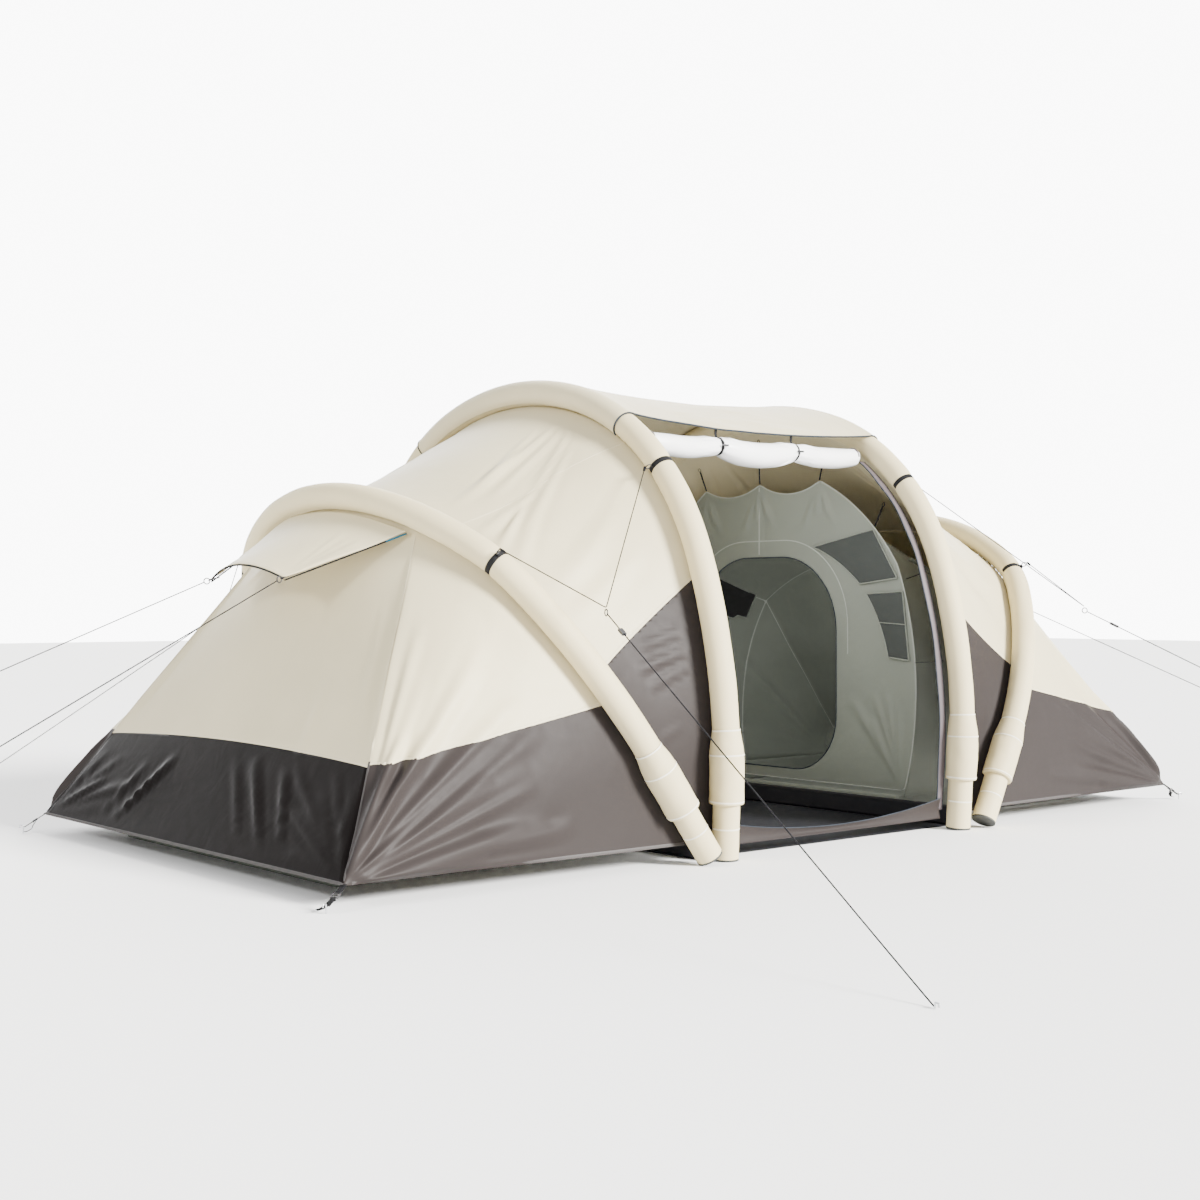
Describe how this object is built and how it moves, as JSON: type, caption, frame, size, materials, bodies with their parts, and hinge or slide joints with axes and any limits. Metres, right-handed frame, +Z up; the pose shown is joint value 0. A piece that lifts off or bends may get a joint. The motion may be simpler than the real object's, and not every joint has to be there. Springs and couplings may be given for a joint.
{
  "type": "tunnel tent",
  "caption": "Two-bedroom inflatable tunnel tent: arched air beams, fly sheet with an open front door, hung inner tents, hoods, guy lines and pegs.",
  "frame": {"origin": "on the ground in the middle of the tent", "axes": "+X along the tent, -Y out of the open front door, +Z up"},
  "size_m": [9.3397, 7.4106, 2.3362],
  "materials": {
    "cream_sleeve": "woven polyester sleeve",
    "bladder_film": "clear film",
    "black_rubber": "matt",
    "cream_fly": "coated plain weave with a soft sheen",
    "grey_fly": "coated plain weave with a soft sheen",
    "charcoal_fly": "coated plain weave with a soft sheen",
    "silver_door": "silver coated",
    "inner_cloth": "breathable weave",
    "groundsheet": "coated",
    "mesh_pocket": "mesh",
    "black_webbing": "webbing",
    "black_cord": "braided",
    "black_plastic": "moulded",
    "steel": "zinc plated"
  },
  "bodies": {
    "tent": {"left_outer_beam": "cream_sleeve", "left_inner_beam": "cream_sleeve", "right_outer_beam": "cream_sleeve", "right_inner_beam": "cream_sleeve", "foot_cuffs": "cream_sleeve", "air_bladders": "bladder_film", "foot_caps": "black_rubber", "valve_bases": "black_rubber", "left_bay_fly": "cream_fly", "left_end_fly": "cream_fly", "left_hood": "cream_fly", "right_bay_fly": "cream_fly", "right_end_fly": "cream_fly", "right_hood": "cream_fly", "living_roof": "cream_fly", "back_door": "cream_fly", "left_gussets": "grey_fly", "left_side_bands": "grey_fly", "right_gussets": "grey_fly", "right_side_bands": "grey_fly", "door_sills": "grey_fly", "zip_flaps": "grey_fly", "left_end_band": "charcoal_fly", "right_end_band": "charcoal_fly", "front_door_roll": "silver_door", "left_bedroom": "inner_cloth", "right_bedroom": "inner_cloth", "left_partition": "inner_cloth", "right_partition": "inner_cloth", "bedroom_floors": "inner_cloth", "living_floor": "groundsheet", "organiser_pockets": "mesh_pocket", "hang_straps": "black_webbing", "beam_straps": "black_webbing", "corner_straps": "black_webbing", "roll_ties": "black_webbing", "hood_bindings": "black_webbing", "guy_bridles": "black_cord", "front_left_guy_line": "black_cord", "front_left_hood_line": "black_cord", "front_right_guy_line": "black_cord", "front_right_hood_line": "black_cord", "back_left_guy_line": "black_cord", "back_left_hood_line": "black_cord", "back_right_guy_line": "black_cord", "back_right_hood_line": "black_cord", "corner_buckles": "black_plastic", "guy_rings": "steel"},
    "left_outer_valve_cap": {"left_outer_valve_cap": "black_rubber"},
    "left_inner_valve_cap": {"left_inner_valve_cap": "black_rubber"},
    "right_outer_valve_cap": {"right_outer_valve_cap": "black_rubber"},
    "right_inner_valve_cap": {"right_inner_valve_cap": "black_rubber"},
    "left_toggle": {"left_toggle": "black_plastic"},
    "right_toggle": {"right_toggle": "black_plastic"},
    "door_zip_slider": {"door_zip_slider": "black_plastic"},
    "front_left_tensioner": {"front_left_tensioner": "black_plastic"},
    "front_right_tensioner": {"front_right_tensioner": "black_plastic"},
    "back_left_tensioner": {"back_left_tensioner": "black_plastic"},
    "back_right_tensioner": {"back_right_tensioner": "black_plastic"},
    "ground_pegs": {"ground_pegs": "steel"}
  },
  "joints": [
    {"name": "left_inner_cap_hinge", "type": "hinge", "parent": "tent", "child": "left_inner_valve_cap", "pos_m": [-0.80217, 1.48643, 0.60121], "axis": [-0.9998, 0, -0.0202], "range_deg": [0, 120]},
    {"name": "left_outer_cap_hinge", "type": "hinge", "parent": "tent", "child": "left_outer_valve_cap", "pos_m": [-1.25212, 1.46385, 0.53309], "axis": [-0.838, 0, -0.5457], "range_deg": [0, 120]},
    {"name": "right_inner_cap_hinge", "type": "hinge", "parent": "tent", "child": "right_inner_valve_cap", "pos_m": [0.80217, 1.48643, 0.60121], "axis": [-0.9998, 0, 0.0202], "range_deg": [0, 120]},
    {"name": "right_outer_cap_hinge", "type": "hinge", "parent": "tent", "child": "right_outer_valve_cap", "pos_m": [1.25212, 1.46385, 0.53309], "axis": [-0.838, 0, 0.5457], "range_deg": [0, 120]},
    {"name": "left_toggle_turn", "type": "hinge", "parent": "tent", "child": "left_toggle", "pos_m": [-0.258, -0.856, 1.85], "axis": [0, -1, 0], "range_deg": [0, 90]},
    {"name": "front_left_tensioner_slide", "type": "slide", "parent": "tent", "child": "front_left_tensioner", "axis": [-0.2513, -0.8641, -0.4361], "range_m": [-0.1, 1.6]},
    {"name": "back_left_tensioner_slide", "type": "slide", "parent": "tent", "child": "back_left_tensioner", "axis": [-0.2513, 0.8641, -0.4361], "range_m": [-0.1, 1.6]},
    {"name": "right_toggle_turn", "type": "hinge", "parent": "tent", "child": "right_toggle", "pos_m": [0.258, -0.856, 1.85], "axis": [0, -1, 0], "range_deg": [0, 90]},
    {"name": "front_right_tensioner_slide", "type": "slide", "parent": "tent", "child": "front_right_tensioner", "axis": [0.2513, -0.8641, -0.4361], "range_m": [-0.1, 1.6]},
    {"name": "back_right_tensioner_slide", "type": "slide", "parent": "tent", "child": "back_right_tensioner", "axis": [0.2513, 0.8641, -0.4361], "range_m": [-0.1, 1.6]},
    {"name": "door_zip_slide", "type": "slide", "parent": "tent", "child": "door_zip_slider", "axis": [0.0202, -0.0544, 0.9983], "range_m": [0, 0.15]},
    {"name": "pegs_lift", "type": "slide", "parent": "tent", "child": "ground_pegs", "axis": [0, 0, 1], "range_m": [0, 0.2]}
  ]
}
